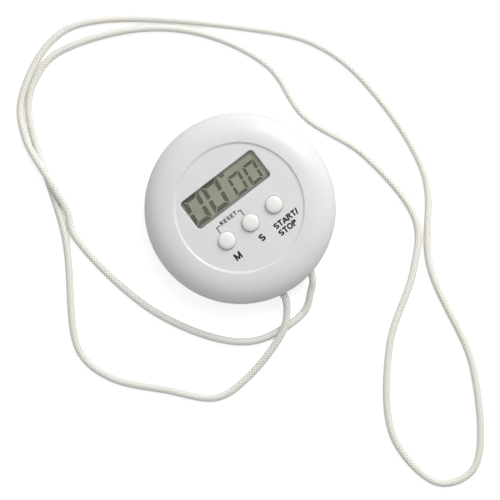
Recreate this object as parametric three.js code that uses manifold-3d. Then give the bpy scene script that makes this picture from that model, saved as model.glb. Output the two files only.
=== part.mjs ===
// A round digital kitchen timer on a neck cord, as an assembly of separate pieces.
// Millimetres, +Z out of the face, +Y towards 12 o'clock, origin at the centre of the flat back.
import * as THREE from 'three';
import { mergeVertices } from 'three/addons/utils/BufferGeometryUtils.js';
import Module from 'manifold-3d';

const wasm = await Module();
wasm.setup();

// ---------- driving dimensions ----------

const CASE = {
  radius: 32.5,
  equatorZ: 7.4, // height of the widest line
  backFlatRadius: 26.5,
  crownZ: 15.5,
  crownRadius: 21.5, // the domed ring would be level here
  squareness: 2.5, // of the dome's section: 2 makes an ellipse, more a fuller curve
  faceZ: 15,
  faceRadius: 21.4,
  slopeRadius: 22.5, // outer edge of the sloped step down to the face
  wall: 1.8,
  ceilingZ: 13.5, // underside of the face
  ceilingRadius: 23.4, // the level part of that underside
  hollowReach: 7.3, // from there out to the widest line of the inside
  sides: 48,
};
const CLEAR = 1; // how far a cutting tool runs past what it cuts
const BEYOND = 40; // a radius outside the whole case

const SEAM = {
  z: 10.7,
  gap: 0.3,
  rebateRadius: 30.2,
  rebateZ: 11.8,
  lipOuter: 29.9,
  lipInner: 28.9,
  lipZ: 11.5,
};

const WINDOW = { width: 30.4, height: 11.1, corner: 1.3, y: 7.65 };
const LENS = { side: 0.15, topZ: 14.6, flangeWidth: 33.6, flangeHeight: 13.8, flangeZ: 12.9, corner: 1 };

const BUTTON = {
  pitch: 9.9,
  y: -6.3,
  radius: 2.95,
  holeRadius: 3.2,
  topZ: 16.4,
  edge: 0.8, // rounding of the cap's rim
  rise: 0.3, // doming of the cap above its rounded rim
  flangeRadius: 4,
  flangeTopZ: 13.4,
  flangeZ: 12.7,
  plungerRadius: 1.5,
  plungerZ: 12.3,
};
const BUTTONS = { minutes: -1, seconds: 0, start_stop: 1 }; // places in the row, in pitches
const PILL = { radius: 1.2, lift: 0.9, height: 0.5 };
const RETURN_DOME = { foot: 3.4, footHeight: 0.5, wall: 0.6, neck: 1.9, neckLift: 1.9, roofLift: 1.4 };

const BOARD = { radius: 24.5, z: 9, topZ: 10, hole: 1 };
const BOARD_SCREWS = [[-18.5, -5], [18.5, -5], [0, -16]];
const BOARD_SCREW = { head: 1.6, headZ: 8.1, shank: 0.7, tipZ: 12.4, pilot: 0.8, post: 2, pilotZ: 12.8 };

const CHIP = { x: -12, y: -3, radius: 4.5, flat: 3.5, height: 1.4 };
const CRYSTAL = { x: 12, y: -3, radius: 1, length: 6, gap: 0.05 };
const CAPACITOR = { x: -13.4, y: 6, width: 3.2, depth: 1.6, height: 1.2 };
const RESISTOR = { x: 13, y: 6, width: 2, depth: 1.2, height: 0.6 };

const CASE_SCREWS = [[-13.5, 19.2], [13.5, 19.2], [0, -23.5]];
const CASE_SCREW = { head: 2, headZ: 2.3, seatZ: 3.6, shank: 1, tipZ: 11.4 };
const POST = { radius: 2.6, z: 6, pilot: 1.05, pilotZ: 12, notch: 3 };
const RECESS = { reach: 0.62, halfWidth: 0.13, depth: 0.6 }; // cross slot, as shares of the head
const SLEEVE = { radius: 3.2, topZ: 5.8, counterbore: 2.2, hole: 1.25 };

const LCD = {
  width: 33,
  frontHeight: 13.6,
  rearHeight: 10,
  glass: 0.7,
  film: 0.2,
  topZ: 12.7,
};
const STRIP = { width: 31, depth: 1.4, offset: 5.9 };
const FRAME = { width: 35, height: 15.4, corner: 0.8, topZ: 12.5 };
const FRAME_POCKET = { width: 33.4, height: 14, corner: 0.3 };

const CELL = { radius: 5.8, z: 1.7, height: 5.4, y: 14, rim: 0.3, capRadius: 4.2 };
const CONTACT = { sheet: 0.3, width: 3, x: 6, footX: 9.5, endZ: 3.6 };
const WELL = { inner: 6.15, outer: 7.25, topZ: 6.4, slot: 2 };

const DOOR = {
  halfWidth: 8.6,
  innerY: 6.2,
  lipZ: 4.5,
  thickness: 1.5,
  gap: 0.2,
  tongue: { reach: 0.7, z: 0.55, topZ: 1.05, y: 8, endY: 22 },
  groove: { reach: 0.9, z: 0.4, topZ: 1.2 },
  grips: 5,
  gripPitch: 1.4,
  gripReach: 5,
  gripDepth: 0.35,
};
const POCKET = { depth: 1.7, wall: 1.3, halfWidth: 10.6, innerY: 4.2, topZ: 6.2 };

const BUZZER = {
  y: -9,
  discRadius: 10,
  discZ: 2.6,
  discTopZ: 2.8,
  ceramicRadius: 7,
  ceramicTopZ: 3,
  seatInner: 9.2,
  rimInner: 10.2,
  seatOuter: 11,
  rimZ: 3.4,
  holeRadius: 0.8,
  holeRing: 3.5,
};

const WIRE = { radius: 0.45, sides: 6, steps: 6 };

const CORD = { radius: 1.2, restZ: 1.2, exitX: 6.2, sides: 8, steps: 80 };
const CORD_HOLE = { radius: 1.5, y: -30.5, z: 6.2, length: 7 };
const KNOT = { y: -26.4, width: 2.1, depth: 1.8 };
const CORD_END = { innerY: -28.5, outerY: -32.1 };

// The cord's centreline from the left hole round to the right one, laid on the table.
const CORD_ROUTE = [
  [-6.3, -33.2, 6.1], [-8.5, -37.2, 4.9], [-14, -42, 3.7], [-33.5, -47.3, 1.2], [-45.8, -46.4, 1.2],
  [-58, -34, 1.2], [-71, -18.5, 1.2], [-73.8, -5, 1.2], [-54, 29, 1.2], [-46.2, 50.5, 1.2],
  [-37, 72, 1.2], [-27, 79.4, 1.2], [-17.5, 81, 1.2], [9, 70.8, 1.2], [26.5, 55, 1.2],
  [37.2, 33, 1.2], [36.5, 12, 1.2], [44.6, -11, 1.2], [45, -39.5, 1.2], [34, -52.5, 1.2],
  [12, -68, 1.2], [-6, -94, 1.2], [-3, -115.5, 1.2], [9.5, -118.5, 1.2], [29.8, -91.5, 1.2],
  [39.5, -54.5, 1.2], [57, -28.5, 1.2], [59.9, 9.5, 1.2], [44, 43, 1.2], [-10, 85.5, 1.2],
  [-36.5, 76.5, 1.2], [-44, 64.5, 2.5], [-46.3, 47, 3.65], [-48, 35.5, 1.6], [-51, 28, 1.2],
  [-44.5, -11.5, 1.2], [-25.5, -37.8, 1.2], [-4.5, -41.2, 1.3], [4.2, -36.6, 4], [6.2, -33.2, 6.1],
];

// ---------- materials ----------

function finish(color, roughness, metalness = 0) {
  return new THREE.MeshStandardMaterial({ color, roughness, metalness });
}

const whiteGloss = finish(0xe6e6e4, 0.3);
const buttonWhite = finish(0xeae8e0, 0.25);
const clear = new THREE.MeshStandardMaterial({
  color: 0xf4f8f6,
  roughness: 0.05,
  transparent: true,
  opacity: 0.3,
});
const displayGrey = finish(0x8f9588, 0.4);
const framePlastic = finish(0xd8d8d4, 0.5);
const silicone = finish(0xc9ccc9, 0.7);
const carbon = finish(0x1c1c1c, 0.8);
const boardGreen = finish(0x2e6b3a, 0.5);
const epoxy = finish(0x15151a, 0.35);
const steel = finish(0xb9bcc0, 0.3, 1);
const brass = finish(0xc8a24a, 0.3, 1);
const ceramic = finish(0xe9e4d6, 0.5);
const componentTan = finish(0xb88a4e, 0.5);
const redWire = finish(0xb02020, 0.5);
const blackWire = finish(0x181818, 0.5);
const cordWhite = finish(0xe9e7df, 0.9);

// ---------- geometry helpers ----------

const TAU = Math.PI * 2;

// A closed three.js geometry as a manifold-3d solid.
function solid(geometry) {
  const bare = geometry.clone();
  bare.deleteAttribute('normal');
  bare.deleteAttribute('uv');
  const merged = mergeVertices(bare, 1e-4);
  return new wasm.Manifold(new wasm.Mesh({
    numProp: 3,
    vertProperties: merged.attributes.position.array,
    triVerts: new Uint32Array(merged.index.array),
  }));
}

// A manifold-3d solid as a flat-shaded three.js geometry.
function geometryOf(shape) {
  const mesh = shape.getMesh();
  const geometry = new THREE.BufferGeometry();
  geometry.setAttribute('position', new THREE.BufferAttribute(mesh.vertProperties, 3));
  geometry.setIndex(new THREE.BufferAttribute(mesh.triVerts, 1));
  geometry.computeVertexNormals();
  return geometry;
}

// A solid of revolution about Z from [radius, z] pairs, listed with the material on the left.
function revolve(profile, sides = CASE.sides) {
  const points = profile.map(([r, z]) => new THREE.Vector2(r, z));
  return solid(new THREE.LatheGeometry(points, sides).rotateX(Math.PI / 2));
}

function ring(inner, outer, z0, z1, sides = 28) {
  return revolve([[inner, z0], [outer, z0], [outer, z1], [inner, z1], [inner, z0]], sides);
}

function rod(radius, z0, z1, sides = 20) {
  return revolve([[0, z0], [radius, z0], [radius, z1], [0, z1]], sides);
}

// The same rod at each [x, y] of a list.
function rods(places, ...size) {
  return places.map(([x, y]) => rod(...size).translate(x, y, 0));
}

function box(x0, x1, y0, y1, z0, z1) {
  const geometry = new THREE.BoxGeometry(x1 - x0, y1 - y0, z1 - z0);
  return solid(geometry.translate((x0 + x1) / 2, (y0 + y1) / 2, (z0 + z1) / 2));
}

// A rectangular plate with round corners, centred on x = 0 and y.
function plate(width, height, y, z0, z1, corner) {
  const shape = new THREE.Shape();
  const w = width / 2;
  const h = height / 2;
  shape.moveTo(corner - w, -h);
  shape.lineTo(w - corner, -h);
  shape.absarc(w - corner, corner - h, corner, -Math.PI / 2, 0, false);
  shape.lineTo(w, h - corner);
  shape.absarc(w - corner, h - corner, corner, 0, Math.PI / 2, false);
  shape.lineTo(corner - w, h);
  shape.absarc(corner - w, h - corner, corner, Math.PI / 2, Math.PI, false);
  shape.lineTo(-w, corner - h);
  shape.absarc(corner - w, corner - h, corner, Math.PI, Math.PI * 1.5, false);
  const settings = { depth: z1 - z0, bevelEnabled: false, curveSegments: 4 };
  return solid(new THREE.ExtrudeGeometry(shape, settings).translate(0, y, z0));
}

// Points on a quarter ellipse round [radius, z], from angle a0 to a1 above the horizontal.
function arc(centreRadius, centreZ, reach, rise, a0, a1, steps) {
  return Array.from({ length: steps + 1 }, (_, i) => {
    const a = a0 + ((a1 - a0) * i) / steps;
    return [centreRadius + reach * Math.cos(a), centreZ + rise * Math.sin(a)];
  });
}

// A smooth curve through points that never dips below a floor height.
class LaidCurve extends THREE.CatmullRomCurve3 {
  constructor(points, floorZ) {
    super(points.map((p) => new THREE.Vector3(...p)));
    this.floorZ = floorZ;
  }

  getPoint(t, target) {
    const point = super.getPoint(t, target);
    point.z = Math.max(point.z, this.floorZ);
    return point;
  }
}

function tube(path, radius, sides, steps) {
  const section = new THREE.Shape(Array.from({ length: sides }, (_, i) => {
    const a = (TAU * (i + 0.5)) / sides;
    return new THREE.Vector2(radius * Math.cos(a), radius * Math.sin(a));
  }));
  return new THREE.ExtrudeGeometry(section, { steps, extrudePath: path });
}

function union(shapes) {
  return shapes.reduce((whole, shape) => whole.add(shape));
}

function cut(shape, tools) {
  return tools.reduce((left, tool) => left.subtract(tool), shape);
}

// ---------- the case's outline ----------

const dome = { reach: CASE.radius - CASE.crownRadius, rise: CASE.crownZ - CASE.equatorZ };
const skirt = { reach: CASE.radius - CASE.backFlatRadius, rise: CASE.equatorZ };

// The angle on the outer dome at height z.
function domeAngle(z) {
  return Math.asin(((z - CASE.equatorZ) / dome.rise) ** (CASE.squareness / 2));
}

function outerDome(a0, a1, steps) {
  const share = 2 / CASE.squareness;
  return arc(0, 0, 1, 1, a0, a1, steps).map(([across, up]) => [
    CASE.crownRadius + dome.reach * Math.max(across, 0) ** share,
    CASE.equatorZ + dome.rise * Math.max(up, 0) ** share,
  ]);
}

// The lower outline of the case, moved inwards by depth, from the centre out to the widest line.
function bowlOutline(depth, steps) {
  const reach = skirt.reach - depth;
  const rise = skirt.rise - depth;
  const curve = arc(CASE.backFlatRadius, CASE.equatorZ, reach, rise, -Math.PI / 2, 0, steps);
  return [[0, depth], ...curve];
}

// Everything inside the lower outline at a depth, up to the widest line.
function bowl(depth) {
  return revolve([...bowlOutline(depth, 9), [0, CASE.equatorZ]]);
}

// ---------- front shell ----------

function windowOpening() {
  const { width, height, y, corner } = WINDOW;
  return plate(width, height, y, CASE.ceilingZ - CLEAR, CASE.crownZ, corner);
}

function frontShell() {
  const hollowRise = CASE.ceilingZ - CASE.equatorZ;
  const ledge = Math.asin((SEAM.rebateZ - CASE.equatorZ) / hollowRise);
  const crest = Math.acos(((CASE.slopeRadius - CASE.crownRadius) / dome.reach) ** (CASE.squareness / 2));
  const edgeZ = SEAM.z + SEAM.gap / 2;
  const skin = revolve([
    [0, CASE.ceilingZ],
    ...arc(CASE.ceilingRadius, CASE.equatorZ, CASE.hollowReach, hollowRise, Math.PI / 2, ledge, 6),
    [SEAM.rebateRadius, SEAM.rebateZ],
    [SEAM.rebateRadius, edgeZ],
    ...outerDome(domeAngle(edgeZ), crest, 10),
    [CASE.faceRadius, CASE.faceZ],
    [0, CASE.faceZ],
  ]);
  const rootZ = CASE.ceilingZ + 0.2;
  const centres = Object.values(BUTTONS).map((place) => [place * BUTTON.pitch, BUTTON.y]);
  const body = union([
    skin,
    ...rods(CASE_SCREWS, POST.radius, POST.z, rootZ),
    ...rods(BOARD_SCREWS, BOARD_SCREW.post, BOARD.topZ, rootZ, 16),
  ]);
  return cut(body, [
    windowOpening(),
    ...rods(CASE_SCREWS, POST.pilot, POST.z - CLEAR, POST.pilotZ, 16),
    ...rods(BOARD_SCREWS, BOARD_SCREW.pilot, BOARD.topZ - CLEAR, BOARD_SCREW.pilotZ, 12),
    ...rods(centres, BUTTON.holeRadius, CASE.ceilingZ - CLEAR, CASE.crownZ),
  ]);
}

// ---------- back shell and battery door ----------

// One of the two holes where the cord runs out through the side wall.
function cordHole(x) {
  const hole = new THREE.CylinderGeometry(CORD_HOLE.radius, CORD_HOLE.radius, CORD_HOLE.length, 12);
  return solid(hole.translate(x, CORD_HOLE.y, CORD_HOLE.z));
}

function cordHoles() {
  return [-CORD.exitX, CORD.exitX].map(cordHole);
}

// What is left below the widest line outside the lower outline at a depth.
function shellBelow(depth) {
  const slab = rod(BEYOND, -CLEAR, CASE.equatorZ, 48);
  return slab.subtract(bowl(depth));
}

// The sliding door's place in the back: the door's own outline grown by its running gap.
function doorPocket() {
  const w = DOOR.halfWidth + DOOR.gap;
  const y = DOOR.innerY - DOOR.gap;
  const { reach, z, topZ } = DOOR.groove;
  const body = shellBelow(POCKET.depth).intersect(box(-w, w, y, BEYOND, -CLEAR, DOOR.lipZ + DOOR.gap));
  return body.add(box(-DOOR.halfWidth - reach, DOOR.halfWidth + reach, y, BEYOND, z, topZ));
}

function soundHoles() {
  const hole = rod(BUZZER.holeRadius, -CLEAR, CASE.wall + CLEAR, 8).translate(0, BUZZER.y, 0);
  const around = Array.from({ length: 6 }, (_, i) => {
    const a = (TAU * i) / 6;
    return hole.translate(BUZZER.holeRing * Math.cos(a), BUZZER.holeRing * Math.sin(a), 0);
  });
  return [hole, ...around];
}

// The tray round the battery door, which keeps the inside closed when the door is off.
function pocketLining(rootZ) {
  const { depth, wall, halfWidth, innerY, topZ } = POCKET;
  const layer = bowl(rootZ).subtract(bowl(depth + wall));
  return layer.intersect(box(-halfWidth, halfWidth, innerY, BEYOND, 0, topZ));
}

// The ring that holds the cell, with a slot on its right for the positive contact.
function cellWell(rootZ) {
  const floorZ = POCKET.depth + POCKET.wall;
  const wall = ring(WELL.inner, WELL.outer, rootZ, WELL.topZ);
  const slot = box(0, WELL.outer + CLEAR, -WELL.slot, WELL.slot, floorZ, WELL.topZ + CLEAR);
  return wall.subtract(slot).translate(0, CELL.y, 0);
}

function backShell() {
  const edgeZ = SEAM.z - SEAM.gap / 2;
  const inside = bowlOutline(CASE.wall, 6).reverse();
  const skin = revolve([
    ...bowlOutline(0, 9),
    ...outerDome(0, domeAngle(edgeZ), 3).slice(1),
    [SEAM.lipOuter, edgeZ],
    [SEAM.lipOuter, SEAM.lipZ],
    [SEAM.lipInner, SEAM.lipZ],
    [SEAM.lipInner, edgeZ - 0.9],
    ...inside,
  ]);
  const rootZ = CASE.wall - 0.2;
  const mouthZ = POCKET.depth + POCKET.wall + CLEAR;
  const body = union([
    skin,
    pocketLining(rootZ),
    cellWell(rootZ),
    ring(BUZZER.seatInner, BUZZER.seatOuter, rootZ, BUZZER.discZ).translate(0, BUZZER.y, 0),
    ring(BUZZER.rimInner, BUZZER.seatOuter, rootZ, BUZZER.rimZ).translate(0, BUZZER.y, 0),
    ...rods(CASE_SCREWS, SLEEVE.radius, rootZ, SLEEVE.topZ),
  ]);
  return cut(body, [
    doorPocket(),
    rod(WELL.inner, -CLEAR, mouthZ, 32).translate(0, CELL.y, 0),
    ...rods(CASE_SCREWS, SLEEVE.counterbore, -CLEAR, CASE_SCREW.seatZ),
    ...rods(CASE_SCREWS, SLEEVE.hole, -CLEAR, SLEEVE.topZ + CLEAR, 16),
    ...soundHoles(),
    ...cordHoles(),
  ]);
}

function batteryDoor() {
  const leaf = bowl(0).subtract(bowl(DOOR.thickness))
    .intersect(box(-DOOR.halfWidth, DOOR.halfWidth, DOOR.innerY, BEYOND, -CLEAR, DOOR.lipZ));
  const t = DOOR.tongue;
  const reach = DOOR.halfWidth + t.reach;
  const tongues = box(-reach, reach, t.y, t.endY, t.z, t.topZ);
  const grips = Array.from({ length: DOOR.grips }, (_, i) => {
    const y = CASE.backFlatRadius - 2 - i * DOOR.gripPitch;
    return box(-DOOR.gripReach, DOOR.gripReach, y, y + DOOR.gripPitch / 2, -CLEAR, DOOR.gripDepth);
  });
  return cut(leaf.add(tongues), grips);
}

// ---------- display ----------

// A flange glued under the face, with a boss that fills the opening.
function displayWindow() {
  const { side, topZ, flangeWidth, flangeHeight, flangeZ, corner } = LENS;
  const flange = plate(flangeWidth, flangeHeight, WINDOW.y, flangeZ, CASE.ceilingZ, corner);
  const width = WINDOW.width - 2 * side;
  const height = WINDOW.height - 2 * side;
  return flange.add(plate(width, height, WINDOW.y, flangeZ, topZ, WINDOW.corner - side));
}

function lcdLayer(height, z0, z1) {
  const w = LCD.width / 2;
  return box(-w, w, WINDOW.y - height / 2, WINDOW.y + height / 2, z0, z1);
}

function lcdFrame() {
  const pocket = FRAME_POCKET;
  const outer = plate(FRAME.width, FRAME.height, WINDOW.y, BOARD.topZ, FRAME.topZ, FRAME.corner);
  const [low, high] = [BOARD.topZ - CLEAR, FRAME.topZ + CLEAR];
  return outer.subtract(plate(pocket.width, pocket.height, WINDOW.y, low, high, pocket.corner));
}

// One of the two rubber strips that join the glass to the board, above or below the display.
function elastomerStrip(side, topZ) {
  const y = WINDOW.y + side * STRIP.offset;
  const half = STRIP.depth / 2;
  return box(-STRIP.width / 2, STRIP.width / 2, y - half, y + half, BOARD.topZ, topZ);
}

// ---------- buttons ----------

function buttonCap() {
  const b = BUTTON;
  const rim = arc(b.radius - b.edge, b.topZ - b.rise - b.edge, b.edge, b.edge, 0, Math.PI / 2, 4);
  return revolve([
    [0, b.plungerZ],
    [b.plungerRadius, b.plungerZ],
    [b.plungerRadius, b.flangeZ],
    [b.flangeRadius, b.flangeZ],
    [b.flangeRadius, b.flangeTopZ],
    [b.radius, b.flangeTopZ],
    ...rim,
    [b.radius * 0.4, b.topZ - b.rise * 0.2],
    [0, b.topZ],
  ], 24);
}

// The rubber dome under a button: a foot on the board, a thin cone and a solid roof.
function returnDome() {
  const z = BOARD.topZ;
  const { foot, footHeight, wall, neck, neckLift, roofLift } = RETURN_DOME;
  return revolve([
    [foot - wall, z],
    [foot, z],
    [foot, z + footHeight],
    [neck, z + neckLift],
    [BUTTON.plungerRadius, BUTTON.plungerZ],
    [0, BUTTON.plungerZ],
    [0, z + roofLift],
    [neck - 0.5, z + roofLift],
    [foot - wall, z + footHeight - 0.1],
    [foot - wall, z],
  ], 16);
}

function contactPill() {
  const z = BOARD.topZ + PILL.lift;
  return rod(PILL.radius, z, z + PILL.height);
}

// ---------- board and what is on it ----------

function circuitBoard() {
  const board = rod(BOARD.radius, BOARD.z, BOARD.topZ, 40);
  const [low, high] = [BOARD.z - CLEAR, BOARD.topZ + CLEAR];
  return cut(board, [
    ...rods(CASE_SCREWS, POST.notch, low, high),
    ...rods(BOARD_SCREWS, BOARD.hole, low, high, 16),
  ]);
}

// The drop of resin over the timer chip, hanging under the board.
function chipBlob() {
  const edge = arc(CHIP.flat, BOARD.z, CHIP.radius - CHIP.flat, -CHIP.height, Math.PI / 2, 0, 4);
  return revolve([[0, BOARD.z - CHIP.height], ...edge, [0, BOARD.z]], 24).translate(CHIP.x, CHIP.y, 0);
}

function clockCrystal() {
  const { x, y, radius, length, gap } = CRYSTAL;
  const can = new THREE.CylinderGeometry(radius, radius, length, 12);
  return solid(can.translate(x, y, BOARD.z - radius - gap));
}

// A flat component soldered to the underside of the board.
function chipPart({ x, y, width, depth, height }) {
  const [w, d] = [width / 2, depth / 2];
  return box(x - w, x + w, y - d, y + d, BOARD.z - height, BOARD.z);
}

// A lead from the buzzer up to the board.
function buzzerWire(points) {
  return tube(new LaidCurve(points, BUZZER.ceramicTopZ), WIRE.radius, WIRE.sides, WIRE.steps);
}

// ---------- screws ----------

// A pan-head screw standing on its head, with a cross recess in it.
function screw(head, headZ, seatZ, shank, tipZ) {
  const chamfer = 0.3;
  const body = revolve([
    [0, headZ],
    [head - chamfer, headZ],
    [head, headZ + chamfer],
    [head, seatZ],
    [shank, seatZ],
    [shank, tipZ - shank],
    [0, tipZ],
  ], 12);
  const arm = head * RECESS.reach;
  const slot = head * RECESS.halfWidth;
  const floorZ = headZ + (seatZ - headZ) * RECESS.depth;
  return cut(body, [
    box(-arm, arm, -slot, slot, headZ - CLEAR, floorZ),
    box(-slot, slot, -arm, arm, headZ - CLEAR, floorZ),
  ]);
}

// ---------- battery and its contacts ----------

function buttonCell() {
  const { radius, z, height, y, rim, capRadius } = CELL;
  const top = z + height;
  return revolve([
    [0, z],
    [radius - rim, z],
    [radius, z + rim],
    [radius, top - 3 * rim],
    [radius - rim, top - rim],
    [capRadius + rim, top - rim],
    [capRadius, top],
    [0, top],
  ], 24).translate(0, y, 0);
}

// A bent strip of sheet metal: an outline in the plane across the strip, given its width.
function strip(outline, width) {
  const shape = new THREE.Shape(outline.map(([a, b]) => new THREE.Vector2(a, b)));
  const geometry = new THREE.ExtrudeGeometry(shape, { depth: width, bevelEnabled: false });
  return geometry.translate(0, 0, -width / 2).rotateX(Math.PI / 2);
}

// The leaf under the board that presses on the cell's cap.
function negativeContact() {
  const z = BOARD.z;
  const touch = CELL.z + CELL.height + 0.05;
  const t = CONTACT.sheet;
  const leaf = strip([
    [-6, z], [-6, z - t], [-3, z - t], [0.5, touch], [2, touch], [3, touch + 0.8],
    [2.7, touch + 0.9], [1.8, touch + t], [0.6, touch + t], [-2.8, z],
  ], CONTACT.width);
  return solid(leaf).translate(0, CELL.y, 0);
}

// The leaf that stands beside the cell in the well's slot.
function positiveContact() {
  const z = BOARD.z;
  const t = CONTACT.sheet;
  const { x, footX, endZ } = CONTACT;
  const leaf = strip([
    [x, endZ], [x + t, endZ], [x + t, z - t], [footX, z - t], [footX, z], [x, z],
  ], CONTACT.width);
  return solid(leaf).translate(0, CELL.y, 0);
}

// ---------- cord ----------

function stopperKnot(x) {
  const knot = new THREE.SphereGeometry(1, 12, 8).scale(KNOT.width, KNOT.depth, KNOT.width);
  return knot.translate(x, KNOT.y, CORD_HOLE.z);
}

function cordEnd(x) {
  const length = CORD_END.innerY - CORD_END.outerY;
  const middle = (CORD_END.innerY + CORD_END.outerY) / 2;
  const stub = new THREE.CylinderGeometry(CORD.radius, CORD.radius, length, CORD.sides);
  return stub.translate(x, middle, CORD_HOLE.z);
}

// ---------- assembly ----------

const timer = new THREE.Group();

function add(name, shape, material, group = timer) {
  const geometry = shape.isBufferGeometry ? shape : geometryOf(shape);
  const mesh = new THREE.Mesh(geometry, material);
  mesh.name = name;
  group.add(mesh);
  return mesh;
}

add('front_shell', frontShell(), whiteGloss);
add('back_shell', backShell(), whiteGloss);
add('battery_door', batteryDoor(), whiteGloss);

add('display_window', displayWindow(), clear);
const glassZ = LCD.topZ - LCD.film;
const rearZ = glassZ - LCD.glass;
const filmZ = rearZ - LCD.glass;
add('lcd_front_polariser', lcdLayer(LCD.rearHeight + 1.4, glassZ, LCD.topZ), displayGrey);
add('lcd_front_glass', lcdLayer(LCD.frontHeight, rearZ, glassZ), clear);
add('lcd_rear_glass', lcdLayer(LCD.rearHeight, filmZ, rearZ), clear);
add('lcd_reflector', lcdLayer(LCD.rearHeight, filmZ - LCD.film, filmZ), steel);
add('lcd_frame', lcdFrame(), framePlastic);
add('elastomer_strip_upper', elastomerStrip(1, rearZ), silicone);
add('elastomer_strip_lower', elastomerStrip(-1, rearZ), silicone);

for (const [name, place] of Object.entries(BUTTONS)) {
  const station = new THREE.Group();
  station.position.set(place * BUTTON.pitch, BUTTON.y, 0);
  timer.add(station);
  add(`button_${name}`, buttonCap(), buttonWhite, station);
  add(`return_dome_${name}`, returnDome(), silicone, station);
  add(`contact_pill_${name}`, contactPill(), carbon, station);
}

add('circuit_board', circuitBoard(), boardGreen);
add('chip_blob', chipBlob(), epoxy);
add('clock_crystal', clockCrystal(), steel);
add('capacitor', chipPart(CAPACITOR), componentTan);
add('resistor', chipPart(RESISTOR), epoxy);

const buzzer = new THREE.Group();
buzzer.position.set(0, BUZZER.y, 0);
timer.add(buzzer);
add('buzzer_disc', rod(BUZZER.discRadius, BUZZER.discZ, BUZZER.discTopZ, 40), brass, buzzer);
add('buzzer_ceramic', rod(BUZZER.ceramicRadius, BUZZER.discTopZ, BUZZER.ceramicTopZ, 32), ceramic, buzzer);
add('buzzer_wire_red', buzzerWire([[3, -11, 3.8], [6, -8, 5.5], [7, -3, 8.4]]), redWire);
add('buzzer_wire_black', buzzerWire([[-8.3, -10, 3.6], [-7, -6, 5.6], [-4, -2, 8.4]]), blackWire);

add('button_cell', buttonCell(), steel);
add('negative_contact', negativeContact(), steel);
add('positive_contact', positiveContact(), steel);

CASE_SCREWS.forEach(([x, y], i) => {
  const { head, headZ, seatZ, shank, tipZ } = CASE_SCREW;
  const mesh = add(`case_screw_${i + 1}`, screw(head, headZ, seatZ, shank, tipZ), steel);
  mesh.position.set(x, y, 0);
});
BOARD_SCREWS.forEach(([x, y], i) => {
  const { head, headZ, shank, tipZ } = BOARD_SCREW;
  const mesh = add(`board_screw_${i + 1}`, screw(head, headZ, BOARD.z, shank, tipZ), steel);
  mesh.position.set(x, y, 0);
});

for (const [side, sign] of [['left', -1], ['right', 1]]) {
  add(`cord_knot_${side}`, stopperKnot(sign * CORD.exitX), cordWhite);
  add(`cord_end_${side}`, cordEnd(sign * CORD.exitX), cordWhite);
}
const route = new LaidCurve(CORD_ROUTE, CORD.restZ);
add('neck_cord', tube(route, CORD.radius, CORD.sides, CORD.steps), cordWhite);

export default timer;
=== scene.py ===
"""A round digital kitchen timer on a neck cord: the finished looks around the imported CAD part.

Sizes are in millimetres in the part's own frame, with +Z out of the face and +Y towards 12 o'clock.
They become metres where a mesh is made.
"""

import math

import bpy
import numpy as np
from mathutils import Matrix, Vector
from mathutils.geometry import delaunay_2d_cdt


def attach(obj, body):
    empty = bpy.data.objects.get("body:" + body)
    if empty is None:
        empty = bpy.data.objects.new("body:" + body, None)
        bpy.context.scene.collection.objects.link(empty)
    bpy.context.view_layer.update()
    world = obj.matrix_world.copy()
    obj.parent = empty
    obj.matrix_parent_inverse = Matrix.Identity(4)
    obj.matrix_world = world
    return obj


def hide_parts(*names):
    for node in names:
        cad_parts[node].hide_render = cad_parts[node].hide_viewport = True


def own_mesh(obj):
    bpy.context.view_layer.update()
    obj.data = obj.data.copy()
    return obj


MM = 0.001
TAU = 2 * math.pi

# ---------- sizes shared with the CAD part ----------

RADIUS = 32.5
EQUATOR_Z = 7.4
CROWN_R, CROWN_Z = 21.5, 15.5
SQUARENESS = 2.5
SLOPE_R = 22.0
FACE_R, FACE_Z = 21.4, 15.0
CEILING_R, CEILING_Z, HOLLOW_REACH = 23.4, 13.5, 7.3
WALL = 1.8
BACK_R = 26.5
DOME_REACH, DOME_RISE = RADIUS - CROWN_R, CROWN_Z - EQUATOR_Z
SKIRT_REACH = RADIUS - BACK_R
SIDES = 192

SEAM_Z, SEAM_GAP = 10.7, 0.3
REBATE_R, REBATE_Z = 30.2, 11.8
LIP_OUTER, LIP_INNER, LIP_Z = 29.9, 28.9, 11.5

WINDOW_W, WINDOW_H, WINDOW_Y, WINDOW_CORNER = 30.4, 11.1, 7.65, 1.3
LENS_GAP, LENS_Z = 0.15, 14.6
FLANGE_W, FLANGE_H, FLANGE_Z = 33.6, 13.8, 12.9
FILM_W, FILM_Z, FILM_TOP = 33, 12.5, 12.7

BUTTON_PITCH, BUTTON_Y = 9.9, -6.3
BUTTONS = {"minutes": -1, "seconds": 0, "start_stop": 1}
BUTTON_R, BUTTON_HOLE_R, HOLE_BEVEL = 2.95, 3.02, 0.15
CAP_LOW, CAP_TOP = 15.35, 16.4
PLUNGER_Z, DOME_FOOT_Z, BUTTON_TRAVEL = 12.3, 10.0, 0.8

BOARD_SCREWS = ((-18.5, -5), (18.5, -5), (0, -16))
CASE_SCREWS = ((-13.5, 19.2), (13.5, 19.2), (0, -23.5))
CASE_SCREW_SIZE = {"head": 2, "head_z": 2.3, "seat_z": 3.6, "shank": 1, "tip_z": 11.4}
BOARD_SCREW_SIZE = {"head": 1.6, "head_z": 8.1, "seat_z": 9, "shank": 0.7, "tip_z": 12.4}
# Radius, lower end and upper end of the posts under the ceiling, and of the screws' holes in them.
CASE_POST, BOARD_POST = (2.6, 6, CEILING_Z + 0.2), (2, 10, CEILING_Z + 0.2)
CASE_PILOT, BOARD_PILOT = (1.05, 5, 12), (0.8, 9, 12.8)
COUNTERBORE_R, COUNTERBORE_MOUTH, COUNTERBORE_Z = 2.2, 2.4, 3.6

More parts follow.
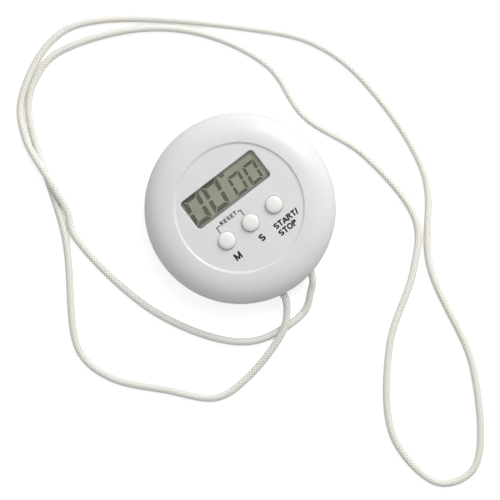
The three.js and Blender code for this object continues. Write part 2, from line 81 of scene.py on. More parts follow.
CELL_R, CELL_Z, CELL_H, CELL_Y = 5.8, 1.7, 5.4, 14.0
WELL_INNER, WELL_OUTER, WELL_Z, WELL_SLOT = 6.15, 7.25, 6.4, 2.0

DOOR_HALF, DOOR_Y, DOOR_LIP_Z, DOOR_T, DOOR_GAP = 8.6, 6.2, 4.5, 1.5, 0.2
TONGUE_REACH, TONGUE_Z, TONGUE_TOP, TONGUE_Y, TONGUE_END = 0.7, 0.55, 1.05, 8.0, 22.0
GROOVE_REACH, GROOVE_Z, GROOVE_TOP = 0.9, 0.4, 1.2
POCKET_DEPTH, POCKET_WALL, POCKET_HALF, POCKET_Y, POCKET_Z = 1.7, 1.3, 10.6, 4.2, 6.2

BUZZER_Y, SOUND_R, SOUND_RING = -9.0, 0.8, 3.5

CORD_R, CORD_FLOOR = 1.3, 1.25
CORD_X, HOLE_R, HOLE_Y, HOLE_Z, HOLE_LENGTH = 6.2, 1.5, -30.5, 6.2, 7.0
KNOT_Y, KNOT_W, KNOT_D = -26.4, 2.1, 1.8
CORD_INNER_Y = -28.3

# The cord's centreline from the left hole round to the right one, laid on the table.
CORD_ROUTE = (
    (-6.3, -33.2, 6.1), (-8.5, -37.2, 4.9), (-14, -42, 3.7), (-33.5, -47.3, 1.2), (-45.8, -46.4, 1.2),
    (-58, -34, 1.2), (-71, -18.5, 1.2), (-73.8, -5, 1.2), (-54, 29, 1.2),
    (-37, 72, 1.2), (-27, 79.4, 1.2), (-17.5, 81, 1.2), (9, 70.8, 1.2), (26.5, 55, 1.2),
    (37.2, 33, 1.2), (36.5, 12, 1.2), (44.6, -11, 1.2), (45, -39.5, 1.2), (34, -52.5, 1.2),
    (12, -68, 1.2), (-6, -94, 1.2), (-3, -115.5, 1.2), (9.5, -118.5, 1.2), (29.8, -91.5, 1.2),
    (39.5, -54.5, 1.2), (57, -28.5, 1.2), (59.9, 9.5, 1.2), (54.9, 28.3, 1.2), (44, 43, 1.2),
    (-10, 85.5, 1.2),
    (-36.5, 76.5, 1.2), (-44, 64.5, 2.5), (-46.3, 47, 3.65), (-48, 35.5, 1.6), (-51, 28, 1.2),
    (-44.5, -11.5, 1.2), (-25.5, -37.8, 1.2), (-4.5, -41.2, 1.3), (2.1, -36.8, 3.5), (4.8, -34.2, 5.2),
)

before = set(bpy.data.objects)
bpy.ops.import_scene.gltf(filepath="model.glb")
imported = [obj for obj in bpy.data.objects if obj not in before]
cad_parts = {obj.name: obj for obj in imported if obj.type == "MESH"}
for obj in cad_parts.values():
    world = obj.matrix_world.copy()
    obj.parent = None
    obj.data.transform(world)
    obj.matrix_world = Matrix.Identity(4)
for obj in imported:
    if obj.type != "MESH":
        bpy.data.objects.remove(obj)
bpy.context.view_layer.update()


# ---------- camera ----------

VIEW_TURN = math.radians(37.4)  # the face lies turned by this in the picture
VIEW_CENTRE = (-6.2, -13.1)  # the point on the table at the middle of the picture
VIEW_HEIGHT = 600.0
VIEW_SHIFT = 24.0  # how far the camera stands to the picture's right of that point
LENS, SENSOR = 126.0, 36.0


def make_camera():
    right = Vector((math.cos(VIEW_TURN), -math.sin(VIEW_TURN), 0))
    up = Vector((math.sin(VIEW_TURN), math.cos(VIEW_TURN), 0))
    target = Vector((*VIEW_CENTRE, 0))
    place = target + right * VIEW_SHIFT + Vector((0, 0, VIEW_HEIGHT))
    back = (place - target).normalized()
    side = up.cross(back).normalized()
    head = back.cross(side)
    data = bpy.data.cameras.new("camera")
    data.lens = LENS
    data.sensor_width = SENSOR
    data.clip_start, data.clip_end = 0.01, 10
    camera = bpy.data.objects.new("camera", data)
    turn = Matrix((side, head, back)).transposed().to_4x4()
    camera.matrix_world = Matrix.Translation(place * MM) @ turn
    bpy.context.scene.collection.objects.link(camera)
    bpy.context.scene.camera = camera


make_camera()


# ---------- node materials ----------


class Shade:
    """A node material under construction, with one Principled shader."""

    def __init__(self, name, **values):
        self.material = bpy.data.materials.new(name)
        self.material.use_nodes = True
        self.tree = self.material.node_tree
        self.shader = self.tree.nodes["Principled BSDF"]
        for socket, value in values.items():
            title = socket.replace("_", " ").title().replace("Ior", "IOR")
            self.shader.inputs[title].default_value = value

    def node(self, kind, links=None, **settings):
        """A node with settings as attributes, and links as {input: socket or value}."""
        made = self.tree.nodes.new(kind)
        for key, value in settings.items():
            setattr(made, key, value)
        for key, value in (links or {}).items():
            if isinstance(value, bpy.types.NodeSocket):
                self.tree.links.new(value, made.inputs[key])
            else:
                made.inputs[key].default_value = value
        return made

    def link(self, output, name):
        self.tree.links.new(output, self.shader.inputs[name])

    def math(self, operation, a, b=0.0, c=0.0):
        return self.node("ShaderNodeMath", {0: a, 1: b, 2: c}, operation=operation).outputs[0]

    def noise(self, scale, detail=3.0, roughness=0.5, vector=None):
        where = vector or self.node("ShaderNodeTexCoord").outputs["Object"]
        links = {"Vector": where, "Scale": scale, "Detail": detail, "Roughness": roughness}
        return self.node("ShaderNodeTexNoise", links).outputs["Fac"]

    def ramp(self, fac, stops):
        """Colours or greys along fac, from (position, colour) stops."""
        made = self.node("ShaderNodeValToRGB", {"Fac": fac})
        elements = made.color_ramp.elements
        while len(elements) < len(stops):
            elements.new(0.5)
        for element, (position, colour) in zip(elements, stops):
            element.position = position
            element.color = colour if len(colour) == 4 else (*colour, 1)
        return made.outputs["Color"]

    def between(self, fac, low, high):
        links = {"Value": fac, "To Min": low, "To Max": high}
        return self.node("ShaderNodeMapRange", links).outputs[0]

    def bump(self, height, strength, distance_mm, normal=None):
        links = {"Height": height, "Strength": strength, "Distance": distance_mm * MM}
        if normal:
            links["Normal"] = normal
        return self.node("ShaderNodeBump", links).outputs["Normal"]


def shaded(colour, factor):
    return tuple(c * factor for c in colour)


def plastic(name, colour, roughness=0.3, spread=0.03, grain_mm=0.25, grain=0.04, coat=0.08):
    """Moulded plastic: faint cloudy tone, uneven gloss and a very fine surface grain."""
    s = Shade(name, coat_weight=coat, coat_roughness=0.06, ior=1.49, specular_ior_level=0.28)
    cloud = s.noise(90, 4)
    s.link(s.ramp(cloud, ((0.3, shaded(colour, 1 - spread)), (0.7, colour))), "Base Color")
    s.link(s.between(s.noise(400, 2), roughness * 0.8, roughness * 1.25), "Roughness")
    s.link(s.bump(s.noise(1000 / grain_mm, 2), 0.35, grain), "Normal")
    return s.material


def metal(name, colour, roughness=0.28, grain=0.02):
    """Plated or rolled metal with fine drawn streaks and slight tarnish."""
    s = Shade(name, metallic=1.0)
    where = s.node("ShaderNodeTexCoord").outputs["Object"]
    stretched = s.node("ShaderNodeMapping", {"Vector": where, "Scale": (1, 14, 1)}).outputs[0]
    streaks = s.noise(900, 4, 0.6, stretched)
    tarnish = s.noise(260, 5)
    s.link(s.ramp(tarnish, ((0.3, shaded(colour, 0.82)), (0.65, colour))), "Base Color")
    s.link(s.between(streaks, roughness * 0.7, roughness * 1.5), "Roughness")
    s.link(s.bump(streaks, 0.3, grain), "Normal")
    return s.material


def rubbery(name, colour, roughness=0.65):
    """Silicone or carbon rubber: matte, dusty, slightly mottled."""
    s = Shade(name, sheen_weight=0.2, sheen_roughness=0.4)
    mottle = s.noise(700, 5)
    s.link(s.ramp(mottle, ((0.35, shaded(colour, 0.85)), (0.65, colour))), "Base Color")
    s.link(s.between(mottle, roughness * 0.85, roughness * 1.15), "Roughness")
    s.link(s.bump(s.noise(3000, 2), 0.4, 0.03), "Normal")
    return s.material


def clear_plastic():
    """Polished acrylic: a faint tint to look through, and a reflection that grows towards grazing views."""
    s = Shade("clear_window", metallic=1.0)
    s.shader.inputs["Base Color"].default_value = (1, 1, 1, 1)
    s.link(s.between(s.noise(300, 3), 0.02, 0.06), "Roughness")
    s.link(s.bump(s.noise(60, 2), 0.05, 0.01), "Normal")
    through = s.node("ShaderNodeBsdfTransparent", {"Color": (0.95, 0.96, 0.945, 1)})
    grazing = s.node("ShaderNodeFresnel", {"IOR": 1.49}).outputs[0]
    links = {0: grazing, 1: through.outputs[0], 2: s.shader.outputs[0]}
    mixed = s.node("ShaderNodeMixShader", links)
    s.tree.links.new(mixed.outputs[0], s.tree.nodes["Material Output"].inputs["Surface"])
    return s.material


def film():
    """The grey-green polarising film, a little cloudy, with the faint glint of a laminated foil."""
    s = Shade("display_film", coat_weight=0.3, coat_roughness=0.1, specular_ior_level=0.3)
    cloud = s.noise(160, 4)
    tones = ((0.3, (0.69, 0.69, 0.54)), (0.5, (0.74, 0.75, 0.60)), (0.72, (0.79, 0.77, 0.65)))
    s.link(s.ramp(cloud, tones), "Base Color")
    s.link(s.between(s.noise(900, 2), 0.32, 0.45), "Roughness")
    s.link(s.bump(s.noise(2500, 1), 0.15, 0.01), "Normal")
    return s.material


def segment_ink():
    """Switched liquid crystal: dark, brownish in places and bluish in others."""
    s = Shade("display_segments", roughness=0.4, specular_ior_level=0.25)
    drift = s.noise(130, 2)
    tones = ((0.3, (0.190, 0.165, 0.172)), (0.5, (0.235, 0.218, 0.182)), (0.7, (0.195, 0.208, 0.170)))
    s.link(s.ramp(drift, tones), "Base Color")
    s.link(s.bump(s.noise(2500, 1), 0.1, 0.01), "Normal")
    return s.material


def label_ink():
    """Pad-printed black ink with tiny pinholes of uneven cover."""
    s = Shade("label_ink", specular_ior_level=0.1)
    cover = s.noise(2200, 4)
    s.link(s.ramp(cover, ((0.3, (0.012, 0.012, 0.013)), (0.75, (0.03, 0.03, 0.031)))), "Base Color")
    s.link(s.between(cover, 0.35, 0.55), "Roughness")
    s.link(s.bump(cover, 0.3, 0.01), "Normal")
    return s.material


def circuit_green():
    """Solder mask over copper tracks."""
    s = Shade("solder_mask", coat_weight=0.3, coat_roughness=0.15)
    where = s.node("ShaderNodeTexCoord").outputs["Object"]
    cells = s.node("ShaderNodeTexVoronoi", {"Vector": where, "Scale": 420.0}, distance="MANHATTAN")
    tracks = s.ramp(cells.outputs["Distance"], ((0.28, (0.02, 0.13, 0.045)), (0.34, (0.035, 0.22, 0.07))))
    s.link(tracks, "Base Color")
    s.link(s.between(s.noise(800, 2), 0.25, 0.4), "Roughness")
    s.link(s.bump(cells.outputs["Distance"], 0.3, 0.03), "Normal")
    return s.material


YARNS = 6  # yarns each way round the cord
PLAIT_MM = 7.2  # length of cord in which a yarn goes once round


def braid_material():
    """Soft white polyester yarn: fine filaments along each yarn, and painted shade that darkens each yarn
    towards its edges and in the gaps where yarns dive under.
    """
    s = Shade("cord_braid", sheen_weight=0.35, sheen_roughness=0.45, specular_ior_level=0.3)
    s.shader.inputs["Sheen Tint"].default_value = (1, 0.98, 0.93, 1)
    uv = s.node("ShaderNodeUVMap", uv_map="weave").outputs[0]
    split = s.node("ShaderNodeSeparateXYZ", {0: uv})
    around, along = split.outputs[0], split.outputs[1]
    right = s.math("SUBTRACT", around, along)
    left = s.math("ADD", around, along)
    turn = s.math("ADD", s.math("FLOOR", right), s.math("FLOOR", left))
    on_top = s.math("MODULO", s.math("ABSOLUTE", turn), 2.0)
    across = s.node("ShaderNodeMix", {0: on_top, 2: right, 3: left}).outputs[0]
    inside = s.math("FRACT", across)
    filaments = s.math("SINE", s.math("MULTIPLY", across, TAU * 5))
    edge = s.math("MULTIPLY", s.math("ABSOLUTE", s.math("SUBTRACT", inside, 0.5)), 2.0)
    fuzz = s.noise(2500, 4)
    tint = s.noise(35, 3)
    # painted shade: the colour darkens from each yarn's crown to its edges and the gaps between yarns, with a
    # little random fuzz
    painted_gap_shade = s.math("ADD", s.math("MULTIPLY", s.math("POWER", edge, 1.6), 0.8), s.math("MULTIPLY", fuzz, 0.2))
    gap_shade_tone, mid, light = (0.50, 0.488, 0.43), (0.76, 0.752, 0.70), (0.90, 0.895, 0.87)
    body = s.ramp(painted_gap_shade, ((0.12, light), (0.42, mid), (0.8, gap_shade_tone)))
    warm = s.ramp(tint, ((0.4, (1, 1, 1)), (0.7, (1, 0.985, 0.93))))
    mixed = s.node("ShaderNodeMix", data_type="RGBA", blend_type="MULTIPLY")
    mixed.inputs[0].default_value = 1
    s.tree.links.new(body, mixed.inputs[6])
    s.tree.links.new(warm, mixed.inputs[7])
    s.link(mixed.outputs[2], "Base Color")
    s.link(s.between(fuzz, 0.6, 0.85), "Roughness")
    height = s.math("ADD", s.math("MULTIPLY", filaments, 0.5), fuzz)
    s.link(s.bump(height, 0.5, 0.03), "Normal")
    return s.material


FLOOR_GLOW = 0.6


def table_top():
    """A plain white table that looks brighter to the camera than the light it throws on the timer."""
    s = Shade("table_top", roughness=0.75, specular_ior_level=0.1)
    tones = ((0.3, (0.73, 0.73, 0.73)), (0.7, (0.75, 0.75, 0.75)))
    s.link(s.ramp(s.noise(6, 3), tones), "Base Color")
    s.shader.inputs["Emission Color"].default_value = (1, 1, 1, 1)
    seen = s.node("ShaderNodeLightPath").outputs["Is Camera Ray"]
    s.link(s.math("MULTIPLY", seen, FLOOR_GLOW), "Emission Strength")
    s.link(s.bump(s.noise(500, 2), 0.05, 0.05), "Normal")
    return s.material


CASE_WHITE = (0.66, 0.66, 0.665)
case_white = plastic("case_white", CASE_WHITE)
button_white = plastic("button_white", (0.76, 0.755, 0.735), roughness=0.2)
frame_white = plastic("frame_plastic", (0.62, 0.62, 0.6), roughness=0.45, coat=0)
ink = label_ink()


# ---------- mesh helpers ----------


def to_object(name, points, faces):
    """An object from points in millimetres."""
    mesh = bpy.data.meshes.new(name)
    mesh.from_pydata([Vector(p) * MM for p in points], [], faces)
    mesh.update()
    made = bpy.data.objects.new(name, mesh)
    bpy.context.scene.collection.objects.link(made)
    return made


def piece(made, material, body, replaced=(), sharp=32):
    """Finishes a mesh as a shown piece: shading, material, its body and the CAD nodes it stands for."""
    mesh = made.data
    mesh.materials.clear()
    mesh.materials.append(material)
    mesh.polygons.foreach_set("use_smooth", [True] * len(mesh.polygons))
    mesh.set_sharp_from_angle(angle=math.radians(sharp))
    weighted = made.modifiers.new("even_normals", "WEIGHTED_NORMAL")
    weighted.keep_sharp = True
    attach(made, body)
    if replaced:
        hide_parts(*replaced)
    return made


def softened(corners, steps=6):
    """A line through (x, y, cut) corners, each rounded off over its cut length."""
    line = []
    last = len(corners) - 1
    for i, (x, y, cut) in enumerate(corners):
        here = np.array((x, y), float)
        if cut <= 0 or i in (0, last):
            line.append((x, y))
            continue
        before = np.array(corners[i - 1][:2], float) - here
        after = np.array(corners[i + 1][:2], float) - here
        start = here + before * min(0.49, cut / np.linalg.norm(before))
        end = here + after * min(0.49, cut / np.linalg.norm(after))
        for t in np.linspace(0, 1, steps + 1):
            line.append(tuple((1 - t) ** 2 * start + 2 * t * (1 - t) * here + t * t * end))
    return line


def arc(centre_r, centre_z, reach, rise, a0, a1, steps):
    angles = np.linspace(a0, a1, steps + 1)
    return [(centre_r + reach * math.cos(a), centre_z + rise * math.sin(a)) for a in angles]


def lathe(name, profile, sides=SIDES, at=(0, 0)):
    """A closed solid of revolution about the vertical through at.

    The profile of (radius, z) has its material on the left. It starts and ends on the axis, or closes
    on itself.
    """
    points, rings = [], []
    for r, z in profile:
        if r < 1e-6:
            rings.append([len(points)] * sides)
            points.append((at[0], at[1], z))
            continue
        rings.append(list(range(len(points), len(points) + sides)))
        for k in range(sides):
            a = TAU * k / sides
            points.append((at[0] + r * math.cos(a), at[1] + r * math.sin(a), z))
    closing = [] if profile[0][0] < 1e-6 else [(rings[-1], rings[0])]
    faces = []
    for low, high in list(zip(rings, rings[1:])) + closing:
        for k in range(sides):
            n = (k + 1) % sides
            corners = [low[k], low[n], high[n], high[k]]
            face = [c for i, c in enumerate(corners) if c != corners[i - 1]]
            if len(face) > 2:
                faces.append(face)
    return to_object(name, points, faces)


def rod(name, radius, z0, z1, at=(0, 0), sides=64):
    return lathe(name, [(0, z0), (radius, z0), (radius, z1), (0, z1)], sides, at)


def ring(name, inner, outer, z0, z1, at=(0, 0), sides=96):
    return lathe(name, [(inner, z0), (outer, z0), (outer, z1), (inner, z1)], sides, at)


def round_outline(width, height, corner, y, steps=10):
    """Points round a rectangle with rounded corners, centred on x = 0 and y."""
    points = []
    for i, (sx, sy) in enumerate(((1, 1), (-1, 1), (-1, -1), (1, -1))):
        cx, cy = sx * (width / 2 - corner), sy * (height / 2 - corner) + y
        for a in np.linspace(i * TAU / 4, (i + 1) * TAU / 4, steps + 1):
            points.append((cx + corner * math.cos(a), cy + corner * math.sin(a)))
    return points


def loft(name, levels):
    """A closed solid through outlines of equal length, from (outline, z) levels going up."""
    count = len(levels[0][0])
    points = [(x, y, z) for outline, z in levels for x, y in outline]
    faces = [list(reversed(range(count)))]
    for i in range(len(levels) - 1):
        low, high = i * count, (i + 1) * count
        for k in range(count):
            n = (k + 1) % count
            faces.append([low + k, low + n, high + n, high + k])
    faces.append(list(range((len(levels) - 1) * count, len(levels) * count)))
    return to_object(name, points, faces)


def slab(name, width, height, y, corner, profile):
    """A rounded rectangle whose outline moves in and out by (offset, z) pairs going up."""
    levels = []
    for offset, z in profile:
        size = (width + 2 * offset, height + 2 * offset, max(corner + offset, 0.05), y)
        levels.append((round_outline(*size), z))
    return loft(name, levels)


def block(name, x0, x1, y0, y1, z0, z1):
    outline = [(x0, y0), (x1, y0), (x1, y1), (x0, y1)]
    return loft(name, [(outline, z0), (outline, z1)])


def combine(target, others, operation):
    """Joins others to target, or cuts them from it, and removes them."""
    for other in others:
        change = target.modifiers.new(operation, "BOOLEAN")
        change.operation = operation
        change.solver = "EXACT"
        change.object = other
        bpy.context.view_layer.update()
        depsgraph = bpy.context.evaluated_depsgraph_get()
        mesh = bpy.data.meshes.new_from_object(target.evaluated_get(depsgraph))
        target.modifiers.clear()
        target.data = mesh
        bpy.data.objects.remove(other)
    return target


def join(target, others):
    return combine(target, others, "UNION")


def cut(target, others):
    return combine(target, others, "DIFFERENCE")


def common(target, other):
    return combine(target, [other], "INTERSECT")


# ---------- front shell ----------


def dome_angle(z):
    return math.asin(((z - EQUATOR_Z) / DOME_RISE) ** (SQUARENESS / 2))


def dome_line(a0, a1, steps):
    """The dome's section between two angles: a quarter of a squarish ellipse."""
    share = 2 / SQUARENESS
    line = []
    for a in np.linspace(a0, a1, steps + 1):
        across, up = max(math.cos(a), 0) ** share, max(math.sin(a), 0) ** share
        line.append((CROWN_R + DOME_REACH * across, EQUATOR_Z + DOME_RISE * up))
    return line


def flare(radius, z, lip=0.22, steps=5):
    """(offset, z) pairs of a hole's rounded upper lip."""
    pairs = []
    for a in np.linspace(0, TAU / 4, steps + 1):
        pairs.append((radius + lip * (1 - math.cos(a)), z - lip + lip * math.sin(a)))
    return pairs


def hole_cutter(radius, at, low, top, lip):
    line = [(0, low), (radius, low), *flare(radius, top, lip)]
    wide = line[-1][0]
    return lathe("cutter", [*line, (wide, top + 3), (0, top + 3)], 96, at)


def window_cutter():
    pairs = [(0, CEILING_Z - 2), *flare(0, FACE_Z, 0.25)]
    pairs.append((pairs[-1][0], FACE_Z + 3))
    return slab("cutter", WINDOW_W, WINDOW_H, WINDOW_Y, WINDOW_CORNER, pairs)


def front_shell():
    edge = SEAM_Z + SEAM_GAP / 2
    hollow_rise = CEILING_Z - EQUATOR_Z
    ledge = math.asin((REBATE_Z - EQUATOR_Z) / hollow_rise)
    crest = math.acos(((SLOPE_R - CROWN_R) / DOME_REACH) ** (SQUARENESS / 2))
    outer = dome_line(dome_angle(edge), crest, 64)
    step = [(*outer[-3], 0), (*outer[-1], 0.2), (FACE_R, FACE_Z, 0.2), (FACE_R - 0.7, FACE_Z, 0)]
    slope = softened(step, 6)
    rim = [(outer[0][0] - 0.12, edge), (outer[0][0] - 0.03, edge + 0.03)]
    profile = [
        (0, CEILING_Z),
        *arc(CEILING_R, EQUATOR_Z, HOLLOW_REACH, hollow_rise, TAU / 4, ledge, 18),
        (REBATE_R, REBATE_Z),
        (REBATE_R, edge),
        *rim,
        *outer[2:-2],
        *slope[1:],
        (0, FACE_Z),
    ]
    shell = lathe("case_front", profile)
    posts = [rod("post", *CASE_POST, at) for at in CASE_SCREWS]
    posts += [rod("post", *BOARD_POST, at) for at in BOARD_SCREWS]
    join(shell, posts)
    pilots = [rod("pilot", *CASE_PILOT, at, 32) for at in CASE_SCREWS]
    pilots += [rod("pilot", *BOARD_PILOT, at, 32) for at in BOARD_SCREWS]
    holes = [window_cutter()]
    for place in BUTTONS.values():
        centre = (place * BUTTON_PITCH, BUTTON_Y)
        holes.append(hole_cutter(BUTTON_HOLE_R, centre, CEILING_Z - 1, FACE_Z, HOLE_BEVEL))
    cut(shell, pilots + holes)
    return piece(shell, case_white, "case", ["front_shell"])


# ---------- back shell and battery door ----------


def bowl_line(depth, steps):
    reach, rise = SKIRT_REACH - depth, EQUATOR_Z - depth
    return [(0, depth), *arc(BACK_R, EQUATOR_Z, reach, rise, -TAU / 4, 0, steps)]


def bowl(depth, steps=28, sides=SIDES):
    return lathe("bowl", [*bowl_line(depth, steps), (0, EQUATOR_Z)], sides)


def door_pocket():
    """The door's place in the back: its outline grown by the running gap, with a groove on each side."""
    half, low_y = DOOR_HALF + DOOR_GAP, DOOR_Y - DOOR_GAP
    room = cut(block("pocket", -half, half, low_y, 40, -1, DOOR_LIP_Z + DOOR_GAP), [bowl(POCKET_DEPTH)])
    reach = DOOR_HALF + GROOVE_REACH
    return join(room, [block("groove", -reach, reach, low_y, 39, GROOVE_Z, GROOVE_TOP)])


def cord_hole(x):
    """A straight cutter along Y, for one of the two cord holes."""
    hole = lathe("cord_hole", [(0, 0), (HOLE_R, 0), (HOLE_R, HOLE_LENGTH), (0, HOLE_LENGTH)], 48)
    turn = Matrix.Rotation(TAU / 4, 4, "X")
    hole.data.transform(turn)
    hole.data.transform(Matrix.Translation(Vector((x, HOLE_Y + HOLE_LENGTH / 2, HOLE_Z)) * MM))
    return hole


def back_shell():
    edge = SEAM_Z - SEAM_GAP / 2
    outer = bowl_line(0, 28) + dome_line(0, dome_angle(edge), 14)[1:]
    top_r = outer[-1][0]
    outer[-1] = (top_r + 0.01, edge - 0.12)
    profile = [
        *outer,
        (top_r - 0.03, edge - 0.03),
        (top_r - 0.12, edge),
        (LIP_OUTER, edge),
        (LIP_OUTER, LIP_Z),
        (LIP_INNER, LIP_Z),
        (LIP_INNER, edge - 0.9),
        *reversed(bowl_line(WALL, 16)),
    ]
    shell = lathe("case_back", profile)
    root = WALL - 0.2
    lining = cut(bowl(root, 16, 96), [bowl(POCKET_DEPTH + POCKET_WALL, 16, 96)])
    lining = common(lining, block("lining", -POCKET_HALF, POCKET_HALF, POCKET_Y, 40, 0, POCKET_Z))
    floor_z = POCKET_DEPTH + POCKET_WALL
    well = ring("well", WELL_INNER, WELL_OUTER, root, WELL_Z, (0, CELL_Y))
    cut(well, [block("slot", 0, WELL_OUTER + 1, CELL_Y - WELL_SLOT, CELL_Y + WELL_SLOT, floor_z, WELL_Z + 1)])
    seat = ring("seat", 9.2, 11, root, 2.6, (0, BUZZER_Y))
    rim = ring("rim", 10.2, 11, root, 3.4, (0, BUZZER_Y))
    sleeves = [rod("sleeve", 3.2, root, 5.8, at) for at in CASE_SCREWS]
    join(shell, [lining, well, seat, rim, *sleeves])
    holes = [door_pocket(), rod("mouth", WELL_INNER, -1, floor_z + 1, (0, CELL_Y), 96)]
    for at in CASE_SCREWS:
        flared = [
            (0, -1), (COUNTERBORE_MOUTH, -1), (COUNTERBORE_MOUTH, 0), (COUNTERBORE_R, 0.2),
            (COUNTERBORE_R, COUNTERBORE_Z), (0, COUNTERBORE_Z),
        ]
        holes.append(lathe("counterbore", flared, 48, at))
        holes.append(rod("screw_hole", 1.25, 3, 6.8, at, 32))
    around = [(SOUND_RING * math.cos(TAU * i / 6), SOUND_RING * math.sin(TAU * i / 6)) for i in range(6)]
    for x, y in [(0, 0), *around]:
        mouth = SOUND_R + HOLE_BEVEL
        line = [
            (0, -1), (mouth, -1), (mouth, 0), (SOUND_R, HOLE_BEVEL), (SOUND_R, WALL + 1), (0, WALL + 1),
        ]
        holes.append(lathe("sound_hole", line, 32, (x, y + BUZZER_Y)))
    holes += [cord_hole(-CORD_X), cord_hole(CORD_X)]
    cut(shell, holes)
    return piece(shell, case_white, "case", ["back_shell"])


def battery_door():
    leaf = cut(bowl(0), [bowl(DOOR_T)])
    leaf = common(leaf, block("door_edge", -DOOR_HALF, DOOR_HALF, DOOR_Y, 40, -1, DOOR_LIP_Z))
    leaf.name = "battery_door_leaf"
    reach = DOOR_HALF + TONGUE_REACH
    join(leaf, [block("tongue", -reach, reach, TONGUE_Y, TONGUE_END, TONGUE_Z, TONGUE_TOP)])
    grips = []
    for i in range(5):
        y = BACK_R - 1.65 - i * 1.4
        outline = round_outline(10, 0.7, 0.34, y, 6)
        wide = round_outline(10.3, 1.0, 0.49, y, 6)
        grips.append(loft("grip", [(wide, -1), (wide, 0), (outline, 0.2), (outline, 0.35)]))
    cut(leaf, grips)
    return piece(leaf, case_white, "door", ["battery_door"])


# ---------- display ----------

DIGIT_TOP_Z = FILM_TOP + 0.03
SLANT = 0.115  # how far the digits lean, per unit of height
INK_Z, INK_TOP = FACE_Z, FACE_Z + 0.02


def covered(point, outlines):
    """Whether a point lies inside at least one of some closed outlines."""
    x, y = point
    for outline in outlines:
        inside = False
        for (x0, y0), (x1, y1) in zip(outline, outline[1:] + outline[:1]):
            if (y0 > y) != (y1 > y) and x < x0 + (x1 - x0) * (y - y0) / (y1 - y0):
                inside = not inside
        if inside:
            return True
    return False


def flat_shape(name, outlines, z0, z1):
    """A thin solid whose plan is the union of closed outlines."""
    points, loops = [], []
    for outline in outlines:
        loops.append(list(range(len(points), len(points) + len(outline))))
        points += [Vector(p) for p in outline]
    plan, _, triangles, _, _, _ = delaunay_2d_cdt(points, [], loops, 0, 1e-5)
    triangles = [t for t in triangles if covered(sum((plan[i] for i in t), Vector((0, 0))) / 3, outlines)]
    count = len(plan)
    solid = [(p.x, p.y, z0) for p in plan] + [(p.x, p.y, z1) for p in plan]
    faces, edges = [], {}
    for t in triangles:
        a, b, c = (plan[i] for i in t)
        t = list(t) if (b - a).cross(c - a) > 0 else list(reversed(t))
        faces += [[i + count for i in t], list(reversed(t))]
        for i in range(3):
            edges[(t[i], t[(i + 1) % 3])] = True
    for a, b in edges:
        if (b, a) not in edges:
            faces.append([a, b, b + count, a + count])
    return to_object(name, solid, faces)


def zero(x, y, width, height, bar, gap):
    """The six lit segments of a slanted seven-segment 0 whose lower left corner is at (x, y)."""
    half, g = height / 2, gap / 2
    tip = bar * 0.42
    side = [(0, g), (bar, bar + g), (bar, half - tip), (bar * 0.5, half - g), (0, half - tip)]
    foot = [(g, 0), (width - g, 0), (width - bar - g, bar), (bar + g, bar)]
    shapes = []
    for mirror_x in (False, True):
        for mirror_y in (False, True):
            shape = [(width - px if mirror_x else px, height - py if mirror_y else py) for px, py in side]
            shapes.append(shape)
    shapes += [foot, [(px, height - py) for px, py in foot]]
    return [[(x + px + (py - height) * SLANT, y + py) for px, py in shape] for shape in shapes]


def stroke(points, width):
    """The outline of a line of a given width through points, with mitred corners and square ends."""
    p = [np.array(q, float) for q in points]
    left, right = [], []
    for i, here in enumerate(p):
        before = here - p[i - 1] if i else p[1] - here
        after = p[i + 1] - here if i + 1 < len(p) else before
        d0, d1 = before / np.linalg.norm(before), after / np.linalg.norm(after)
        n0, n1 = np.array((-d0[1], d0[0])), np.array((-d1[1], d1[0]))
        mitre = (n0 + n1) / max(1 + float(n0 @ n1), 0.35)
        left.append(tuple(here + mitre * width / 2))
        right.append(tuple(here - mitre * width / 2))
    return left + right[::-1]


def bend(cx, cy, rx, ry, a0, a1, steps=10):
    """Points on an ellipse, angles in degrees."""
    angles = np.radians(np.linspace(a0, a1, steps + 1))
    return [(cx + rx * math.cos(a), cy + ry * math.sin(a)) for a in angles]


def letter(sign, w):
    """(width, strokes) of a capital of height 1 drawn with strokes of width w."""
    h = w / 2
    lobe = (1 - w) / 4
    s_line = bend(0.4, 1 - h - lobe, 0.4 - h, lobe, 25, 270)
    s_line += bend(0.4, h + lobe, 0.4 - h, lobe, 90, -155)[1:]
    upright = [(h, 0), (h, 1)]
    o_halves = [bend(0.49, 0.5, 0.49 - h, 0.5 - h, start, start + 180, 16) for start in (0, 180)]
    bowl_p = [(h, 1 - h), (0.42, 1 - h), *bend(0.42, 0.73, 0.33 - h, 0.27 - h, 90, -90)[1:], (h, 0.46 + h)]
    shapes = {
        "M": (
            1.0,
            [upright, [(1 - h, 0), (1 - h, 1)], [(h, 1), (0.5, 0.05)], [(1 - h, 1), (0.5, 0.05)]],
        ),
        "S": (0.8, [s_line]),
        "T": (0.78, [[(0, 1 - h), (0.78, 1 - h)], [(0.39, 0), (0.39, 1 - h)]]),
        "A": (0.92, [[(0.05, 0), (0.46, 1 - h)], [(0.87, 0), (0.46, 1 - h)], [(0.17, 0.3), (0.75, 0.3)]]),
        "R": (0.84, [upright, bowl_p, [(0.42, 0.46), (0.74, 0)]]),
        "P": (0.77, [upright, bowl_p]),
        "E": (
            0.7,
            [upright, [(0, 1 - h), (0.68, 1 - h)], [(0, 0.52), (0.63, 0.52)], [(0, h), (0.7, h)]],
        ),
        "O": (0.98, o_halves),
        "/": (0.36, [[(0.05, -0.02), (0.31, 1.02)]]),
    }
    return shapes[sign]


def word(text, x0, x1, y, height, weight):
    """Outlines of a word that fills x0 to x1, standing on y, with strokes weight wide."""
    w = weight / height
    glyphs = [letter(sign, w) for sign in text]
    spare = (x1 - x0) / height - sum(g[0] for g in glyphs)
    gap = spare / max(len(glyphs) - 1, 1)
    outlines, pen = [], 0.0
    for width, strokes in glyphs:
        for line in strokes:
            outline = stroke(line, w)
            outlines.append([(x0 + (pen + px) * height, y + py * height) for px, py in outline])
        pen += width + gap
    return outlines


